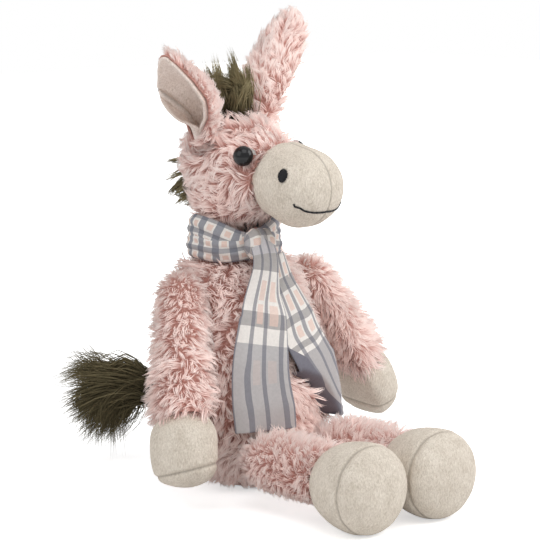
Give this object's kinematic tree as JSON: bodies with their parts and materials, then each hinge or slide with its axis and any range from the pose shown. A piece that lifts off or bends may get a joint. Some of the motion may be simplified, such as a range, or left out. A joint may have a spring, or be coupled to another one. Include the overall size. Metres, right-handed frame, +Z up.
{
  "type": "plush donkey",
  "caption": "Sitting stuffed donkey with curly pile, velour muzzle, hoofs and feet, bristly mane and tail, plastic eyes and a knotted plaid scarf; its soft limbs, ears, head and tail move.",
  "frame": {"origin": "middle of the flat underside of the seat", "axes": "+Z up, the face looks along -Y, the toy's left side is +X"},
  "size_m": [0.225, 0.2874, 0.2865],
  "materials": {
    "pink_plush": "curly pile",
    "beige_velour": "short pile",
    "olive_long_pile": "long pile",
    "plaid_cotton": "woven plaid",
    "polyester_fibre": "loose fibre",
    "cotton_bean_pouch": "plain weave",
    "black_thread": "satin stitch",
    "black_plastic": "glossy",
    "white_plastic": "satin"
  },
  "bodies": {
    "torso": {"torso_skin": "pink_plush", "torso_stuffing": "polyester_fibre", "bean_pouch": "cotton_bean_pouch", "scarf_collar": "plaid_cotton", "scarf_knot": "plaid_cotton"},
    "neck": {"neck_stuffing": "polyester_fibre"},
    "head": {"head_skin": "pink_plush", "muzzle_right_panel": "beige_velour", "muzzle_left_panel": "beige_velour", "head_stuffing": "polyester_fibre", "right_nostril": "black_thread", "left_nostril": "black_thread", "mouth_line": "black_thread", "forelock": "olive_long_pile", "mane": "olive_long_pile", "right_eye": "black_plastic", "right_eye_washer": "white_plastic", "left_eye": "black_plastic", "left_eye_washer": "white_plastic"},
    "right_ear": {"right_ear_back": "pink_plush", "right_ear_lining": "beige_velour"},
    "right_arm": {"right_arm_sleeve": "pink_plush", "right_hand_hoof": "beige_velour", "right_hand_pad": "beige_velour", "right_arm_stuffing": "polyester_fibre"},
    "right_leg": {"right_leg_sleeve": "pink_plush", "right_foot_upper": "beige_velour", "right_foot_sole": "beige_velour", "right_leg_stuffing": "polyester_fibre"},
    "left_ear": {"left_ear_back": "pink_plush", "left_ear_lining": "beige_velour"},
    "left_arm": {"left_arm_sleeve": "pink_plush", "left_hand_hoof": "beige_velour", "left_hand_pad": "beige_velour", "left_arm_stuffing": "polyester_fibre"},
    "left_leg": {"left_leg_sleeve": "pink_plush", "left_foot_upper": "beige_velour", "left_foot_sole": "beige_velour", "left_leg_stuffing": "polyester_fibre"},
    "tail": {"tail_root": "pink_plush", "tail_brush": "olive_long_pile"},
    "scarf_front": {"scarf_front_end": "plaid_cotton"},
    "scarf_side": {"scarf_side_end": "plaid_cotton"}
  },
  "joints": [
    {"name": "head_turn", "type": "hinge", "parent": "torso", "child": "neck", "pos_m": [0, 0.014, 0.185], "axis": [0, 0, 1], "range_deg": [-35, 35], "stiffness_Nm_per_rad": 0.3},
    {"name": "head_nod", "type": "hinge", "parent": "neck", "child": "head", "pos_m": [0, 0.014, 0.185], "axis": [0.9925, 0.1219, 0], "range_deg": [-15, 6], "stiffness_Nm_per_rad": 0.6},
    {"name": "right_ear_flop", "type": "hinge", "parent": "head", "child": "right_ear", "pos_m": [-0.02518, 0.01393, 0.21933], "axis": [0, -1, 0], "range_deg": [-6, 30], "stiffness_Nm_per_rad": 0.05},
    {"name": "left_ear_flop", "type": "hinge", "parent": "head", "child": "left_ear", "pos_m": [0.02445, 0.02002, 0.21932], "axis": [0, 1, 0], "range_deg": [-6, 45], "stiffness_Nm_per_rad": 0.05},
    {"name": "right_arm_swing", "type": "hinge", "parent": "torso", "child": "right_arm", "pos_m": [-0.0515, 0.002, 0.125], "axis": [-0.9781, 0, 0.2079], "range_deg": [-35, 75], "stiffness_Nm_per_rad": 0.06},
    {"name": "left_arm_swing", "type": "hinge", "parent": "torso", "child": "left_arm", "pos_m": [0.0515, 0.002, 0.125], "axis": [-0.809, 0, -0.5878], "range_deg": [-25, 85], "stiffness_Nm_per_rad": 0.06},
    {"name": "right_leg_bend", "type": "hinge", "parent": "torso", "child": "right_leg", "pos_m": [-0.0282, -0.057, 0.027], "axis": [1, 0, 0], "range_deg": [-20, 70]},
    {"name": "left_leg_bend", "type": "hinge", "parent": "torso", "child": "left_leg", "pos_m": [0.0282, -0.057, 0.027], "axis": [1, 0, 0], "range_deg": [-20, 70]},
    {"name": "tail_wag", "type": "hinge", "parent": "torso", "child": "tail", "pos_m": [0, 0.05493, 0.046], "axis": [0, 0, 1], "range_deg": [-70, 10], "stiffness_Nm_per_rad": 0.02},
    {"name": "scarf_front_lift", "type": "hinge", "parent": "torso", "child": "scarf_front", "pos_m": [-0.0073, -0.0175, 0.1635], "axis": [-1, 0, 0], "range_deg": [0, 20]},
    {"name": "scarf_side_lift", "type": "hinge", "parent": "torso", "child": "scarf_side", "pos_m": [0.0066, -0.0201, 0.1495], "axis": [-1, 0, 0], "range_deg": [0, 20]}
  ]
}
